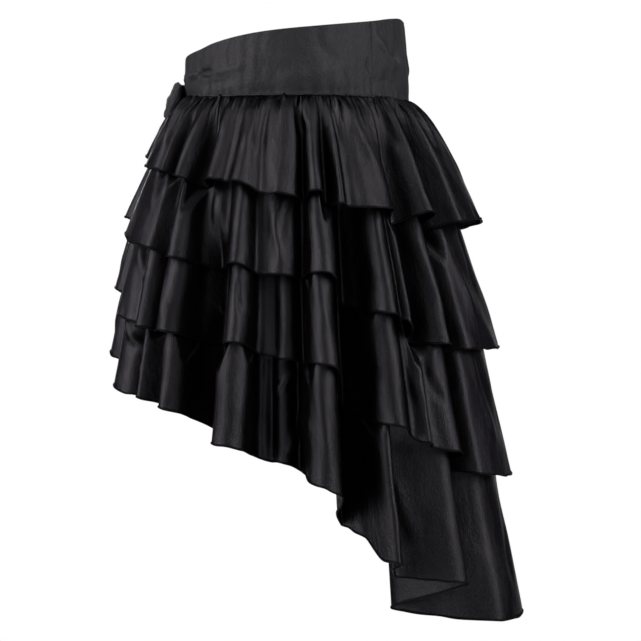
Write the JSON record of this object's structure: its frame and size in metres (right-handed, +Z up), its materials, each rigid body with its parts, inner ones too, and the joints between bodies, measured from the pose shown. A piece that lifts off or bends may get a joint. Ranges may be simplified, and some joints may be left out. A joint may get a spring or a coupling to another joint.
{
  "type": "tiered ruffle skirt",
  "caption": "High-low satin skirt, short in front and long behind, with a wide shaped waistband, gathered ruffle tiers and a small bow at the centre front.",
  "frame": {"origin": "middle of the waist opening, level with the middle of the waistband at the wearer's side", "axes": "+Z up out of the waist opening, -Y the way the wearer faces, +X the wearer's left"},
  "size_m": [0.4366, 0.433, 0.6173],
  "materials": {
    "ruffle_satin": "black satin with a soft sheen",
    "band_satin": "black satin, duller and lightly creased"
  },
  "bodies": {
    "root": {"waistband_front": "band_satin", "waistband_back": "band_satin", "ruffle_1_top": "ruffle_satin", "ruffle_2": "ruffle_satin", "ruffle_3": "ruffle_satin", "ruffle_4_bottom": "ruffle_satin", "bow_loop_left": "band_satin", "bow_loop_right": "band_satin", "bow_knot": "band_satin"}
  },
  "joints": []
}
